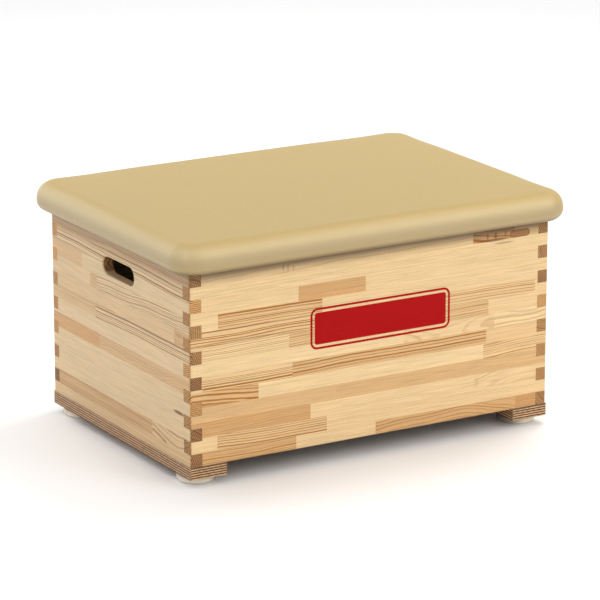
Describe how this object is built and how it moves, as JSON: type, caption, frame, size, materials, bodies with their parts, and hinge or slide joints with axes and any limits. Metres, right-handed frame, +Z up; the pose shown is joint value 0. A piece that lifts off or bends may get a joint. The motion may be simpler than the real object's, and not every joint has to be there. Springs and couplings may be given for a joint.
{
  "type": "padded vaulting box",
  "caption": "Small padded vaulting box: an open-bottomed finger-jointed pine case on plywood skids with round feet, hand holes in both ends and a rounded upholstered top.",
  "frame": {"origin": "on the floor, under the middle of the case", "axes": "+X along the long front to the right as seen from the front, +Y from the front to the rear, +Z up"},
  "size_m": [0.842, 0.617, 0.456],
  "materials": {
    "pine_board": "satin",
    "batten_pine": "matte",
    "skid_plywood": "matte",
    "lid_plywood": "matte",
    "glide_plastic": "gloss",
    "pad_foam": "matte",
    "cover_leatherette": "satin",
    "badge_print": "satin",
    "screw_steel": "satin",
    "staple_steel": "satin"
  },
  "bodies": {
    "root": {"front_panel": "pine_board", "rear_panel": "pine_board", "left_end_panel": "pine_board", "right_end_panel": "pine_board", "left_skid": "skid_plywood", "right_skid": "skid_plywood", "foot_front_left": "glide_plastic", "foot_front_right": "glide_plastic", "foot_rear_left": "glide_plastic", "foot_rear_right": "glide_plastic", "front_cleat": "batten_pine", "rear_cleat": "batten_pine", "left_cleat": "batten_pine", "right_cleat": "batten_pine", "lid_board": "lid_plywood", "foam_pad": "pad_foam", "pad_cover": "cover_leatherette", "front_badge": "badge_print", "foot_screws": "screw_steel", "skid_screws": "screw_steel", "cleat_screws": "screw_steel", "lid_screws": "screw_steel", "cover_staples": "staple_steel"}
  },
  "joints": []
}
